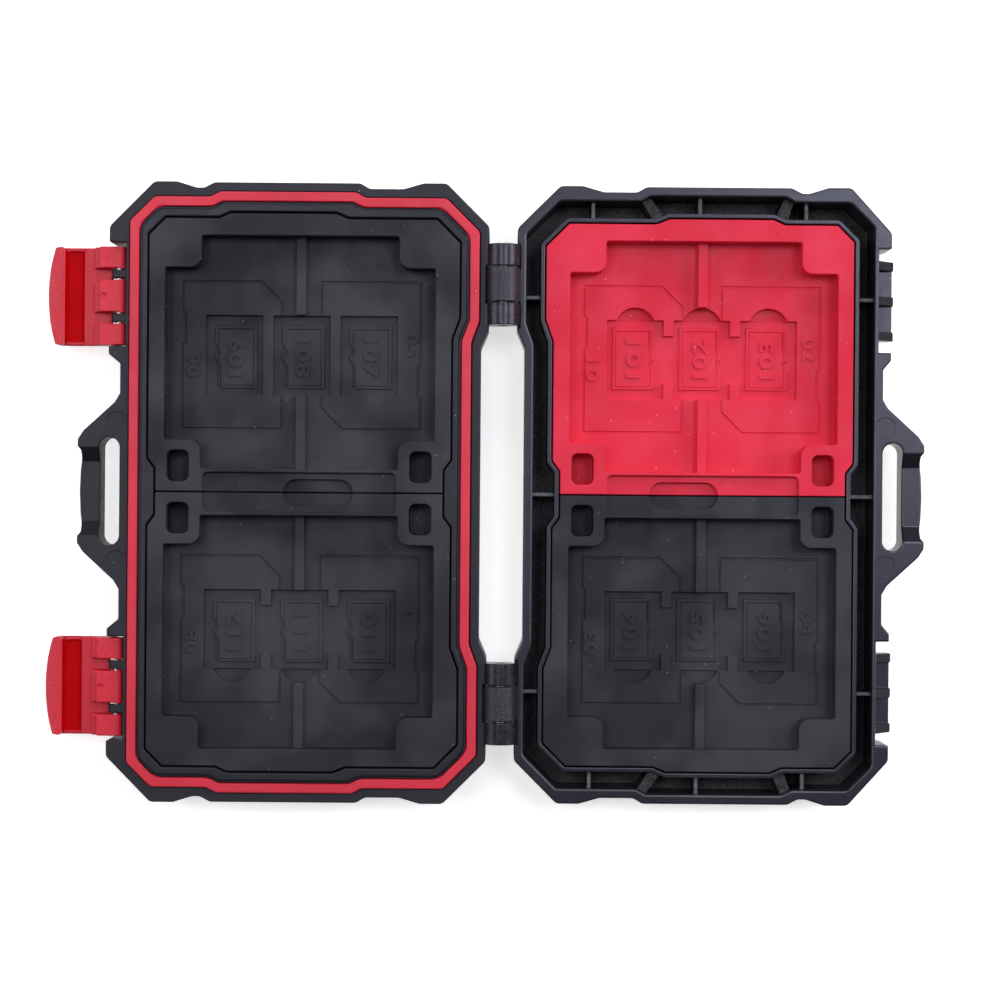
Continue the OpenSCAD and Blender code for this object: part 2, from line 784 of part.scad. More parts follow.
// One rubber insert on the +Y side, with its underside at zero.
// Its card outlines start clipped at the outer end or, flipped, at the seam.
module insert_half_part(joined, flipped) {
    top = insert_t;
    hole_back = (insert_back + pinch + pocket_u - room_l / 2) / 2;
    hole_front = (insert_front - pinch + pocket_u + room_l / 2) / 2;
    flip = flipped ? 1 : 0;
    difference() {
        linear_extrude(insert_t)
            intersection() {
                insert_flat();
                translate([0, seam_gap / 2]) square([front_u, half_len]);
            }
        difference() {
            translate([0, 0, top - card_depth]) linear_extrude(card_depth + past) pocket_flat();
            translate([pocket_u - ridge_w / 2, 0, top - card_depth - past])
                cube([ridge_w, half_len, ridge_h + past]);
        }
        difference() {
            translate([0, 0, insert_floor]) linear_extrude(insert_t) micro_flat(joined);
            linear_extrude(insert_floor + mark_rise)
                each_recess() mirror([0, 1 - flip, 0]) translate([-mark_off_u, -mark_off_v]) mark_flat();
        }
        if (joined)
            translate([0, 0, insert_floor - thumb_drop]) linear_extrude(insert_t) thumb_flat();
        translate([pocket_u, pocket_v, top - card_depth - line_depth])
            linear_extrude(line_depth + ridge_h) mirror([0, flip, 0]) line_flat();
        for (u = [hole_back, hole_front])
            translate([u, seam_land / 2, top - hole_depth]) linear_extrude(hole_depth + past)
                round_rect([hole_w, hole_l], hole_round);
        translate([pocket_u, 0, top - trough_depth]) linear_extrude(trough_depth + past)
            round_rect([room_l - 2 * trough_end, 2 * trough_half], trough_round);
        translate([pocket_u - slot_shift, 0, top - trough_depth - slot_depth])
            linear_extrude(trough_depth + slot_depth + past) round_rect([slot_l, slot_w], slot_w / 2 - 0.01);
    }
}

// A latch lying open, its pin at zero: barrel, block, plate, groove, hook and finger tip
module latch_body() {
    slot_room = lug_t + 2 * lug_gap;
    difference() {
        union() {
            intersection() {
                rotate([90, 0, 0]) linear_extrude(latch_w, center = true) latch_profile();
                linear_extrude(20, center = true) intersection() {
                    translate([latch_reach / 2 - 2, 0]) round_rect([latch_reach + 4, latch_w], 2.4);
                    translate([latch_reach - tip_r, 0]) circle(r = tip_r, $fn = 180);
                }
            }
            rotate([90, 0, 0]) cylinder(r = latch_r, h = latch_w, center = true);
            for (side = [-1, 1])
                translate([(groove_d + hook_d) / 2, side * (latch_w - groove_end) / 2, (plate_h - latch_below) / 2])
                    cube([hook_d - groove_d + 1, groove_end, plate_h + latch_below - 0.4], center = true);
        }
        for (side = [-1, 1]) {
            translate([-3, side * lug_v - slot_room / 2, -latch_below - past])
                cube([3 + lug_r + 0.25, slot_room, latch_below + 5]);
            translate([0, side * lug_v - slot_room / 2 - 0.2, plate_h])
                cube([step_d, slot_room + 0.4, latch_below]);
        }
        translate([block_d - 0.8, 0, latch_r - 0.3]) cylinder(d = dimple_d, h = past);
        rotate([90, 0, 0]) cylinder(d = latch_bore, h = latch_w + 2, center = true);
    }
}

// Side view of a latch lying open, from the barrel to the finger tip
module latch_profile() {
    tip_h = -1.2;
    polygon([
        [-latch_r * 0.7, -latch_r * 0.7],
        [1.2, -latch_below],
        [latch_reach - 0.6, -latch_below],
        [latch_reach, -latch_below + 0.7],
        [latch_reach, tip_h],
        [latch_reach - 0.5, tip_h + 0.5],
        [hook_d + 0.5, hook_h],
        [hook_d, hook_h],
        [hook_d, groove_h + 0.6],
        [hook_d - 0.5, groove_h],
        [groove_d + 0.5, groove_h],
        [groove_d, groove_h + 0.6],
        [groove_d, plate_h],
        [step_d, plate_h],
        [step_d - 0.1, -0.5],
        [block_d + 0.1, -0.5],
        [block_d, latch_r],
        [0, latch_r],
    ]);
}

// Places for the base's pieces, the lid's pieces, and pieces on the -Y side
module at_base() {
    translate([-mid_u, 0, 0]) children();
}

module at_lid() {
    translate([-mid_u, 0, 0]) mirror([1, 0, 0]) children();
}

module lower() {
    mirror([0, 1, 0]) children();
}

module base_shell() {
    color([0.24, 0.24, 0.28]) at_base() base_half();
}

module lid_shell() {
    color([0.2, 0.2, 0.23]) at_lid() lid_half();
}

module gasket() {
    color([0.84, 0.26, 0.33]) at_lid() gasket_half();
}

module insert_base_upper() {
    color([0.86, 0.23, 0.31]) at_base() translate([0, 0, floor_t])
        insert_half_part(true, false);
}

module insert_base_lower() {
    color([0.21, 0.21, 0.24]) at_base() translate([0, 0, floor_t]) lower()
        insert_half_part(true, true);
}

module insert_lid_upper() {
    color([0.21, 0.21, 0.24]) at_lid() translate([0, 0, lid_seat])
        insert_half_part(false, true);
}

module insert_lid_lower() {
    color([0.21, 0.21, 0.24]) at_lid() translate([0, 0, lid_seat]) lower()
        insert_half_part(true, false);
}

module hinge_pin_upper() {
    color("silver") at_base() hinge_round(hinge_v, hinge_pin_l, hinge_pin_d);
}

module hinge_pin_lower() {
    color("silver") at_base() hinge_round(-hinge_v, hinge_pin_l, hinge_pin_d);
}

module latch_place() {
    translate([latch_pin_u, latch_v, latch_pin_z]) children();
}

module latch_pin() {
    rotate([90, 0, 0]) cylinder(d = latch_pin_d, h = latch_w - 0.4, center = true);
}

module latch_upper() {
    color([0.8, 0.22, 0.28]) at_lid() latch_place() latch_body();
}

module latch_lower() {
    color([0.8, 0.22, 0.28]) at_lid() lower() latch_place() latch_body();
}

module latch_pin_upper() {
    color("silver") at_lid() latch_place() latch_pin();
}

module latch_pin_lower() {
    color("silver") at_lid() lower() latch_place() latch_pin();
}

base_shell();
lid_shell();
gasket();
insert_base_upper();
insert_base_lower();
insert_lid_upper();
insert_lid_lower();
hinge_pin_upper();
hinge_pin_lower();
latch_upper();
latch_lower();
latch_pin_upper();
latch_pin_lower();
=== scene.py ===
"""Dresses the memory card case: shells, seal ring, rubber inserts, latches, pins and a plain studio."""
import logging
import math
from collections.abc import Callable
from dataclasses import dataclass, field
from enum import Enum

import bmesh
import bpy
import numpy as np
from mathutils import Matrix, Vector
from mathutils.geometry import delaunay_2d_cdt


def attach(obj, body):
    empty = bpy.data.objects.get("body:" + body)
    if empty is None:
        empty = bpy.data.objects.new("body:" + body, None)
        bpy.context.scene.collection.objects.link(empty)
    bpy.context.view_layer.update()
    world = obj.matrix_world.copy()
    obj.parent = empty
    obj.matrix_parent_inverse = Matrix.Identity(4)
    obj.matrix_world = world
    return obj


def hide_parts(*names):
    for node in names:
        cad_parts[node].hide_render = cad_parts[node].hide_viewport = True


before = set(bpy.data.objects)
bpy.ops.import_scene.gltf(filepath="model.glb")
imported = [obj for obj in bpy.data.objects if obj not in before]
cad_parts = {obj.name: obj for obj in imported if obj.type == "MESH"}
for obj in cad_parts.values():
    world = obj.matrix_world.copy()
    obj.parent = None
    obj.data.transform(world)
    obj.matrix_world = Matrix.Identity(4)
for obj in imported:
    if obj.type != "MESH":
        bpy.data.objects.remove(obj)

LOG = logging.getLogger("memory_card_case")
MM = 0.001
CUT_INSIDE = 1  # the triangulation's option to keep what lies inside the outline
TINY_SIZE = 1e-18  # stands for zero in a division
MIX_FIRST, MIX_SECOND, MIX_OUT = 6, 7, 2  # the colour sockets of a mixing node

Edge = bmesh.types.BMEdge
Material = bpy.types.Material
Mesh = bpy.types.Mesh
Node = bpy.types.Node
Piece = bpy.types.Object
Colour = tuple[float, float, float]
Point = tuple[float, float, float]
Span = tuple[float, float]
Shades = tuple[Colour | float, Colour | float]
Solid = tuple[np.ndarray, list[list[int]]]
Mask = Callable[[np.ndarray, np.ndarray, np.ndarray], np.ndarray]

WHITE: Colour = (1.0, 1.0, 1.0)
RED_SHINE: Colour = (1.0, 0.9, 0.95)


class Half(Enum):
    """The two halves of the open case, with the sign of their out-from-hinge direction along X."""

    BASE = 1
    LID = -1


class Row(Enum):
    """The two inserts of a half, named as seen from above, with their side of the middle."""

    UPPER = 1
    LOWER = -1


@dataclass(frozen=True)
class CasePlan:
    """Main sizes of the case in millimetres: u runs out from the hinge line, v along it, z up."""

    mid_u: float = 38.6  # from the hinge line to the frame's origin
    pocket_u: float = 38.65  # middle of an insert's pocket
    pocket_v: float = 26.35
    recess_pitch: float = 12.95  # from one small card to the next
    shape_off_u: float = 0.3  # how far a small card's shape lies off its recess's middle
    shape_off_v: float = 0.25
    base_rim: float = 12.0  # heights in the open case
    lid_rim: float = 14.0
    tongue_top: float = 15.4
    base_insert: float = 1.9
    lid_insert: float = 6.7
    insert_t: float = 8.5  # heights over an insert's underside
    pocket_floor: float = 3.5
    recess_floor: float = 2.3
    mark_rise: float = 0.35


PLAN = CasePlan()


@dataclass(frozen=True)
class Spot:
    """The place of one insert in the case."""

    half: Half
    row: Row

    @property
    def name(self) -> str:
        """Name of the insert's solid and of its body."""
        return f"insert_{self.half.name.lower()}_{self.row.name.lower()}"

    @property
    def slot(self) -> str:
        """Slot of its rubber, which is red in the base's upper insert only."""
        return "insert_red" if self.half is Half.BASE and self.row is Row.UPPER else "insert_black"

    @property
    def bottom(self) -> float:
        """Height of its underside in millimetres."""
        return PLAN.base_insert if self.half is Half.BASE else PLAN.lid_insert

    def x(self, u: float) -> float:
        """X in millimetres of a place u out from the hinge line."""
        return self.half.value * u - PLAN.mid_u

    def shape_middle(self, place: int) -> Point:
        """Middle of the raised shape of one small card, on its top face.

        Args:
            place: Minus one, zero or one, counted out from the hinge line.

        Returns:
            The middle in millimetres.
        """
        u = PLAN.pocket_u + place * PLAN.recess_pitch - PLAN.shape_off_u
        v = self.row.value * PLAN.pocket_v + self.half.value * PLAN.shape_off_v
        return self.x(u), v, self.bottom + PLAN.recess_floor + PLAN.mark_rise


SPOTS = tuple(Spot(half, row) for half in Half for row in Row)
PLACES = (-1, 0, 1)


class Nodes:
    """A small writer for node materials: it adds nodes, links them and ends at a Principled shader."""

    def __init__(self, name: str) -> None:
        """Starts an empty node material.

        Args:
            name: Name of the material.
        """
        self.material = bpy.data.materials.new(name)
        self.material.use_nodes = True
        self.tree = self.material.node_tree
        self.tree.nodes.clear()
        self.output = self.add("ShaderNodeOutputMaterial")
        self.shader = self.add("ShaderNodeBsdfPrincipled")
        self.link(self.shader, "BSDF", self.output, "Surface")
        self.place = self.add("ShaderNodeTexCoord")

    def add(self, kind: str, **values: object) -> Node:
        """Adds a node.

        Args:
            kind: Blender's node type.
            **values: Attributes of the node to set.

        Returns:
            The new node.
        """
        node = self.tree.nodes.new(kind)
        for key, value in values.items():
            setattr(node, key, value)
        return node

    def link(self, source: Node, out: str | int, target: Node, into: str | int) -> None:
        """Links an output of one node to an input of another."""
        self.tree.links.new(source.outputs[out], target.inputs[into])

    def noise(self, per_mm: float, detail: float = 2.0, roughness: float = 0.5) -> Node:
        """Noise on Object coordinates.

        Args:
            per_mm: How many noise cells fit in a millimetre.
            detail: Octaves of the noise.
            roughness: Weight of the finer octaves.

        Returns:
            The noise node.
        """
        node = self.add("ShaderNodeTexNoise")
        node.inputs["Scale"].default_value = per_mm / MM
        node.inputs["Detail"].default_value = detail
        node.inputs["Roughness"].default_value = roughness
        self.link(self.place, "Object", node, "Vector")
        return node

    def ramp(self, source: Node, stops: Span, shades: Shades) -> Node:
        """Maps a node's first output to a colour or grey between two stops.

        Args:
            source: Node that gives the value.
            stops: Value at each stop.
            shades: Colour or grey at each stop.

        Returns:
            The ramp node.
        """
        node = self.add("ShaderNodeValToRGB")
        for element, stop, shade in zip(node.color_ramp.elements, stops, shades):
            element.position = stop
            element.color = (*shade, 1.0) if isinstance(shade, tuple) else (shade, shade, shade, 1.0)
        self.link(source, 0, node, 0)
        return node

    def vary(self, socket: str, source: Node, stops: Span, shades: Shades) -> None:
        """Lets a socket of the shader follow a node's first output, as ramp does."""
        self.link(self.ramp(source, stops, shades), 0, self.shader, socket)

    def mix(self, factor: Node, first: Node, second: Colour) -> Node:
        """Mixes the colour of a ramp or of another mix with a plain colour.

        Args:
            factor: Node whose first output gives the factor.
            first: Node that gives the colour at factor zero.
            second: Colour at factor one.

        Returns:
            The mixing node.
        """
        node = self.add("ShaderNodeMix", data_type="RGBA")
        self.link(factor, 0, node, 0)
        self.link(first, MIX_OUT if first.bl_idname == node.bl_idname else 0, node, MIX_FIRST)
        node.inputs[MIX_SECOND].default_value = (*second, 1.0)
        return node

    def bump(self, height: Node, depth_mm: float, strength: float, under: Node | None = None) -> Node:
        """Adds a bump layer to the shader.

        Args:
            height: Node whose first output gives the height.
            depth_mm: Height of the bumps in millimetres.
            strength: How strongly they show.
            under: Bump node that this one lies on, if any.

        Returns:
            The bump node.
        """
        node = self.add("ShaderNodeBump")
        node.inputs["Distance"].default_value = depth_mm * MM
        node.inputs["Strength"].default_value = strength
        self.link(height, 0, node, "Height")
        if under is not None:
            self.link(under, "Normal", node, "Normal")
        self.link(node, "Normal", self.shader, "Normal")
        return node

    def specks(self, per_mm: float, share: float, size: float) -> Node:
        """Scattered specks of dust: cells of a Voronoi pattern, of which a share holds a small dot.

        Args:
            per_mm: Cells in a millimetre.
            share: Share of the cells that hold a speck.
            size: Radius of a speck as a share of its cell.

        Returns:
            A node whose first output is one on the specks.
        """
        cells = self.add("ShaderNodeTexVoronoi")
        cells.inputs["Scale"].default_value = per_mm / MM
        self.link(self.place, "Object", cells, "Vector")
        dot = self.add("ShaderNodeMath", operation="LESS_THAN")
        dot.inputs[1].default_value = size
        self.link(cells, "Distance", dot, 0)
        parts = self.add("ShaderNodeSeparateColor")
        self.link(cells, "Color", parts, "Color")
        chosen = self.add("ShaderNodeMath", operation="LESS_THAN")
        chosen.inputs[1].default_value = share
        self.link(parts, "Red", chosen, 0)
        both = self.add("ShaderNodeMath", operation="MULTIPLY")
        self.link(dot, 0, both, 0)
        self.link(chosen, 0, both, 1)
        return both

    def set(self, **values: object) -> None:
        """Sets sockets of the shader, with underscores for the blanks in their names."""
        for key, value in values.items():
            self.shader.inputs[key.replace("_", " ")].default_value = value


@dataclass(frozen=True)
class MouldedPlastic:
    """Injection moulded plastic with a spark-eroded grain whose peaks are lighter as painted glints, faint
    flow clouds and a soft sheen.
    """

    name: str
    colour: Colour
    light: Colour
    roughness: Span = (0.42, 0.52)
    grain_per_mm: float = 6.0
    grain_mm: float = 0.02
    grain_strength: float = 0.3
    specular: float = 0.5
    shine: Colour = (0.84, 0.83, 1.0)
    dust: Colour = (0.30, 0.30, 0.32)
    dust_share: float = 0.03
    glint: Colour = (0.05, 0.05, 0.06)
    glint_share: float = 0.15

    def build(self) -> Material:
        """Builds the plastic.

        Returns:
            The material.
        """
        nodes = Nodes(self.name)
        clouds = nodes.noise(per_mm=0.06, detail=3.0, roughness=0.6)
        tint = nodes.ramp(clouds, stops=(0.35, 0.68), shades=(self.colour, self.light))
        grain = nodes.noise(self.grain_per_mm, detail=2.0, roughness=0.55)
        # lighter specks on the grain's peaks: painted glints
        glint_spots = nodes.ramp(grain, stops=(0.50, 0.70), shades=(0.0, self.glint_share))
        glinted = nodes.mix(glint_spots, tint, self.glint)
        dust = nodes.specks(per_mm=0.8, share=self.dust_share, size=0.09)
        nodes.link(nodes.mix(dust, glinted, self.dust), MIX_OUT, nodes.shader, "Base Color")
        wear = nodes.noise(per_mm=0.5, detail=4.0, roughness=0.65)
        nodes.vary("Roughness", wear, stops=(0.3, 0.7), shades=self.roughness)
        nodes.bump(grain, depth_mm=self.grain_mm, strength=self.grain_strength)
        nodes.set(Specular_IOR_Level=self.specular, Specular_Tint=(*self.shine, 1.0))
        return nodes.material


@dataclass(frozen=True)
class MouldedRubber:
    """Soft rubber: matt, with broad cloudy shine left by the mould, a fine skin and specks of dust."""

    name: str
    colour: Colour
    light: Colour
    roughness: Span = (0.5, 0.66)
    dust: Colour = (0.22, 0.22, 0.24)
    dust_share: float = 0.10
    specular: float = 0.45
    shine: Colour = (0.86, 0.85, 1.0)

    def build(self) -> Material:
        """Builds the rubber.

        Returns:
            The material.
        """
        nodes = Nodes(self.name)
        clouds = nodes.noise(per_mm=0.055, detail=2.0, roughness=0.5)
        tint = nodes.ramp(clouds, stops=(0.42, 0.6), shades=(self.colour, self.light))
        dust = nodes.specks(per_mm=0.8, share=self.dust_share, size=0.085)
        nodes.link(nodes.mix(dust, tint, self.dust), MIX_OUT, nodes.shader, "Base Color")
        patches = nodes.noise(per_mm=0.16, detail=2.0, roughness=0.5)
        nodes.vary("Roughness", patches, stops=(0.36, 0.64), shades=self.roughness)
        fine = nodes.noise(per_mm=9.0, detail=2.0, roughness=0.6)
        skin = nodes.bump(fine, depth_mm=0.012, strength=0.22)
        broad = nodes.noise(per_mm=0.35, detail=1.0, roughness=0.4)
        nodes.bump(broad, depth_mm=0.05, strength=0.25, under=skin)
        nodes.set(Specular_IOR_Level=self.specular, Specular_Tint=(*self.shine, 1.0))
        return nodes.material


@dataclass(frozen=True)
class StreakedPlastic:
    """Rough, scored plastic streaked to a second tone: painted highlight on rib tops, painted shade with
    scuffs in the moat.
    """

    name: str
    colour: Colour
    scuff_and_highlight: Colour
    roughness: float = 0.48
    specular: float = 0.5

    def build(self) -> Material:
        """Builds the streaked plastic.

        Returns:
            The material.
        """
        nodes = Nodes(self.name)
        streaks = nodes.noise(per_mm=1.6, detail=5.0, roughness=0.75)
        nodes.vary("Base Color", streaks, stops=(0.42, 0.70), shades=(self.colour, self.scuff_and_highlight))
        scores = nodes.noise(per_mm=5.0, detail=3.0, roughness=0.7)
        nodes.bump(scores, depth_mm=0.06, strength=0.8)
        nodes.set(Roughness=self.roughness, Specular_IOR_Level=self.specular)
        return nodes.material


@dataclass(frozen=True)
class GroundSteel:
    """Ground steel wire of the pins, with fine rings round its length."""

    name: str
    colour: Colour
    darker: float = 0.85
    roughness: Span = (0.24, 0.36)
    stretch: Point = (0.2, 6.0, 0.2)
    rings_per_mm: float = 2.0

    def build(self) -> Material:
        """Builds the steel.

        Returns:
            The material.
        """
        nodes = Nodes(self.name)
        stretch = nodes.add("ShaderNodeMapping")
        stretch.inputs["Scale"].default_value = self.stretch
        nodes.link(nodes.place, "Object", stretch, "Vector")
        rings = nodes.add("ShaderNodeTexNoise")
        rings.inputs["Scale"].default_value = self.rings_per_mm / MM
        nodes.link(stretch, "Vector", rings, "Vector")
        dark = tuple(self.darker * part for part in self.colour)
        nodes.vary("Base Color", rings, stops=(0.3, 0.7), shades=(dark, self.colour))
        nodes.vary("Roughness", rings, stops=(0.3, 0.7), shades=self.roughness)
        nodes.bump(rings, depth_mm=0.01, strength=0.3)
        nodes.set(Metallic=1.0)
        return nodes.material


def made(finish: MouldedPlastic | MouldedRubber | StreakedPlastic | GroundSteel) -> Material:
    """A dataclass field that holds the finish's material."""
    return field(default_factory=finish.build)


@dataclass
class Finishes:
    """Every finish of the case, built once and in this order."""

    lid_black: Material = made(MouldedPlastic(
        "lid_black", (0.010, 0.0096, 0.013), (0.013, 0.0126, 0.017), roughness=(0.44, 0.54),
        specular=0.36))
    base_black: Material = made(MouldedPlastic(
        "base_black", (0.006, 0.006, 0.011), (0.009, 0.009, 0.016), roughness=(0.28, 0.36)))
    # tongue: glossier than the lid, and darker as painted shade
    tongue_shade_black: Material = made(MouldedPlastic(
        "tongue_shade_black", (0.008, 0.008, 0.011), (0.012, 0.012, 0.016), roughness=(0.36, 0.44),
        grain_strength=0.12, specular=0.3))
    # rims' rounded inner edges: a lighter, glossier black as a painted highlight
    rim_highlight: Material = made(MouldedPlastic(
        "rim_highlight", (0.016, 0.016, 0.022), (0.036, 0.036, 0.046), roughness=(0.26, 0.36),
        specular=0.6, dust_share=0.0))
    # rib tops: paler than the shell as a painted highlight, with streaks
    rib_highlight_grey: Material = made(StreakedPlastic(
        "rib_highlight_grey", (0.030, 0.030, 0.035), (0.14, 0.14, 0.148)))
    # moat floor and web tops: darker and duller than the shell as painted shade, with paler scuffs
    moat_shade_black: Material = made(StreakedPlastic(
        "moat_shade_black", (0.003, 0.003, 0.004), (0.060, 0.060, 0.068), specular=0.25))
    # slopes of the catches and grips: a duller copy of the black, darker as painted shade
    ramp_shade_black: Material = made(MouldedPlastic(
        "ramp_shade_black", (0.006, 0.006, 0.009), (0.009, 0.009, 0.013), roughness=(0.5, 0.6),
        specular=0.12))
    # knuckles and latches: their lighter grain specks are painted glints
    knuckle_grained: Material = made(MouldedPlastic(
        "knuckle_grained", (0.009, 0.008, 0.012), (0.015, 0.014, 0.019), roughness=(0.34, 0.44),
        grain_per_mm=3.2, grain_mm=0.08, grain_strength=1.0, specular=0.45, dust_share=0.06,
        glint=(0.10, 0.097, 0.115), glint_share=0.42))
    knuckle_smooth: Material = made(MouldedPlastic(
        "knuckle_smooth", (0.008, 0.007, 0.011), (0.011, 0.010, 0.015), roughness=(0.24, 0.34),
        grain_per_mm=1.6, grain_mm=0.04, grain_strength=0.5, specular=0.36,
        glint=(0.08, 0.078, 0.094), glint_share=0.3))
    insert_black: Material = made(MouldedRubber(
        "insert_black", (0.009, 0.009, 0.012), (0.029, 0.029, 0.035), specular=0.34))
    insert_red: Material = made(MouldedRubber(
        "insert_red", (0.62, 0.008, 0.036), (0.68, 0.014, 0.048), dust=(0.80, 0.35, 0.38),
        specular=0.38, shine=RED_SHINE))
    seal_red: Material = made(MouldedRubber(
        "seal_red", (0.53, 0.006, 0.028), (0.59, 0.012, 0.038), roughness=(0.46, 0.56),
        dust=(0.75, 0.35, 0.38), dust_share=0.03, specular=0.55, shine=RED_SHINE))
    latch_red: Material = made(MouldedPlastic(
        "latch_red", (0.53, 0.004, 0.022), (0.59, 0.008, 0.030), grain_per_mm=3.2, grain_mm=0.04,
        grain_strength=0.5, specular=0.42, shine=RED_SHINE, dust=(0.75, 0.3, 0.33),
        glint=(0.74, 0.07, 0.11), glint_share=0.4))
    # finger groove: a darker red with almost no reflection, as painted shade
    latch_groove_shade: Material = made(MouldedPlastic(
        "latch_groove_shade", (0.47, 0.0015, 0.003), (0.53, 0.003, 0.006), roughness=(0.5, 0.6),
        specular=0.04, dust_share=0.0, glint=(0.60, 0.004, 0.008), glint_share=0.3))
    steel: Material = made(GroundSteel("pin_steel", (0.62, 0.62, 0.63)))

    def rubber(self, spot: Spot) -> Material:
        """Rubber of an insert."""
        return self.insert_red if spot.slot == "insert_red" else self.insert_black


@dataclass(frozen=True)
class EdgeRule:
    """How much the edges of a height band are rounded, or only its upright edges at slanted corners."""

    low: float
    high: float
    width: float
    upright: bool = False
    tall: float = 0.9
    most_turn: float = math.radians(60)
    most_slant: float = 0.95

    @classmethod
    def level(cls, height: float, width: float, play: float = 0.1) -> "EdgeRule":
        """A rule for the level edges at one height in millimetres, give or take a little play."""
        return cls(height - play, height + play, width)

    def fits(self, edge: Edge) -> bool:
        """Whether an edge is one that the rule is for.

        Args:
            edge: Edge between two faces, in metres.

        Returns:
            True where it lies in the band and, for an upright rule, stands tall at a slanted corner.
        """
        low, high = sorted(v.co.z / MM for v in edge.verts)
        if not (self.low <= low and high <= self.high):
            return False
        if not self.upright:
            return True
        standing = high - low > max(self.most_slant * edge.calc_length() / MM, self.tall)
        return standing and edge.calc_face_angle(0.0) < self.most_turn


def link_new(name: str, data: bpy.types.ID) -> Piece:
    """Makes an object at the origin and links it to the scene.

    Args:
        name: Name of the object.
        data: Its mesh, curve, lamp or camera.

    Returns:
        The object.
    """
    piece = bpy.data.objects.new(name, data)
    bpy.context.scene.collection.objects.link(piece)
    return piece


def values(items: bpy.types.bpy_prop_collection, name: str, count: int, kind: type = float) -> np.ndarray:
    """Reads a property of all items of a mesh.

    Args:
        items: The faces, corners or vertices.
        name: The property.
        count: How many numbers it has in all.
        kind: Kind of the numbers.

    Returns:
        The numbers in one row.
    """
    found = np.empty(count, kind)
    items.foreach_get(name, found)
    return found


@dataclass
class DressedNode:
    """A copy of one solid with its sharp edges rounded, standing for the solid in the same place."""

    node: str
    body: str
    slot: str
    materials: list[Material]
    edge: float = 0.25  # rounding in millimetres where no rule fits
    rules: tuple[EdgeRule, ...] = ()
    choose: Mask | None = None  # picks a material for each face
    segments: int = 2
    sharp: float = math.radians(28)  # bend from which an edge is rounded
    level: float = math.radians(0.6)  # bend up to which two faces are one
    join: float = 0.03  # gap in millimetres that is closed
    tiny: float = 0.001  # edge in millimetres that is dropped
    tie: float = 0.01  # length in millimetres by which edges still count as equal
    straight: float = 0.8  # cosine of the most turn between two edges of a run
    most_share: float = 0.45  # most share of a narrow face that a rounding takes
    least_lean: float = 0.35  # least cosine between a corner's normal and its face's
    cut_near: float = 1e-5  # distance in millimetres within which cut corners are one

    @property
    def widest(self) -> float:
        """The largest rounding of the piece in millimetres."""
        return max([self.edge, *(rule.width for rule in self.rules)])

    def width_at(self, edge: Edge) -> float:
        """Rounding in millimetres of one edge: that of the first rule that fits it, if any."""
        return next((rule.width for rule in self.rules if rule.fits(edge)), self.edge)

    @staticmethod
    def room(edge: Edge) -> float:
        """How far in millimetres the narrowest four-sided face beside an edge reaches from it."""
        sides = [face.calc_area() for face in edge.link_faces if len(face.verts) == 4]
        return min(sides, default=1.0) / (edge.calc_length() * MM)

    def widths(self, work: bmesh.types.BMesh) -> dict[Edge, float]:
        """Rounding of every sharp edge, equal along each smooth run of edges and less on shallow steps.

        Args:
            work: The merged mesh.

        Returns:
            The width in millimetres of each sharp edge.
        """
        sharp = {e for e in work.edges if len(e.link_faces) == 2 and e.calc_face_angle(0.0) > self.sharp}
        found: dict[Edge, float] = {}
        for start in sharp:
            if start in found:
                continue
            run, queue = {start}, [start]
            while queue:
                edge = queue.pop()
                for vert in edge.verts:
                    along = (edge.other_vert(vert).co - vert.co).normalized()
                    for other in vert.link_edges:
                        if other in sharp and other not in run:
                            onward = (vert.co - other.other_vert(vert).co).normalized()
                            if along.dot(onward) > self.straight:
                                run.add(other)
                                queue.append(other)
            longest = max(edge.calc_length() for edge in run) - self.tie * MM
            width = min(self.width_at(edge) for edge in run if edge.calc_length() >= longest)
            width = min(width, self.most_share * min(self.room(edge) for edge in run))
            found.update(dict.fromkeys(run, width))
        return found

    def merged(self) -> Mesh:
        """Merges the solid's loose triangles, joins its level faces and notes each edge's rounding.

        Returns:
            The mesh, its truly flat faces marked in the attribute "flat".
        """
        work = bmesh.new()
        work.from_mesh(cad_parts[self.node].data)
        bmesh.ops.remove_doubles(work, verts=work.verts, dist=self.join * MM)
        bmesh.ops.dissolve_degenerate(work, edges=work.edges, dist=self.tiny * MM)
        bmesh.ops.dissolve_limit(work, angle_limit=self.level, verts=work.verts, edges=work.edges)
        weight = work.edges.layers.float.new("bevel_weight_edge")
        for edge, width in self.widths(work).items():
            edge[weight] = width / self.widest
        flat = work.faces.layers.int.new("flat")
        for face in work.faces:
            bends = [edge.calc_face_angle(0.0) for edge in face.edges if len(edge.link_faces) == 2]
            face[flat] = int(not any(self.level < bend <= self.sharp for bend in bends))
            face.material_index = 0
        mesh = bpy.data.meshes.new(self.node + "_dressed")
        work.to_mesh(mesh)
        work.free()
        return mesh

    def recut(self, mesh: Mesh) -> None:
        """Cuts every many-sided face into triangles that stay inside its outline.

        Each face is laid flat in its own plane and cut by a constrained Delaunay triangulation, which
        also holds where rounding has crossed two corners of the outline.

        Args:
            mesh: Mesh with many-sided flat faces.
        """
        work = bmesh.new()
        work.from_mesh(mesh)
        for face in [f for f in work.faces if len(f.verts) > 4]:
            normal, middle = face.normal.copy(), face.calc_center_median()
            across = normal.orthogonal().normalized()
            along = normal.cross(across)
            rim = list(face.verts)
            plan = [Vector(((v.co - middle).dot(across), (v.co - middle).dot(along))) / MM for v in rim]
            outline = [list(range(len(rim)))]
            points, _, cuts, own, _, _ = delaunay_2d_cdt(plan, [], outline, CUT_INSIDE, self.cut_near)
            spots = [middle + MM * (point.x * across + point.y * along) for point in points]
            corners = [rim[old[0]] if old else work.verts.new(spot) for old, spot in zip(own, spots)]
            for cut in cuts:
                corner = tuple(corners[i] for i in cut)
                if len(set(corner)) == 3 and work.faces.get(corner) is None:
                    work.faces.new(corner, face)
            work.faces.remove(face)
        bmesh.ops.delete(work, geom=[v for v in work.verts if not v.link_faces], context="VERTS")
        work.to_mesh(mesh)
        work.free()

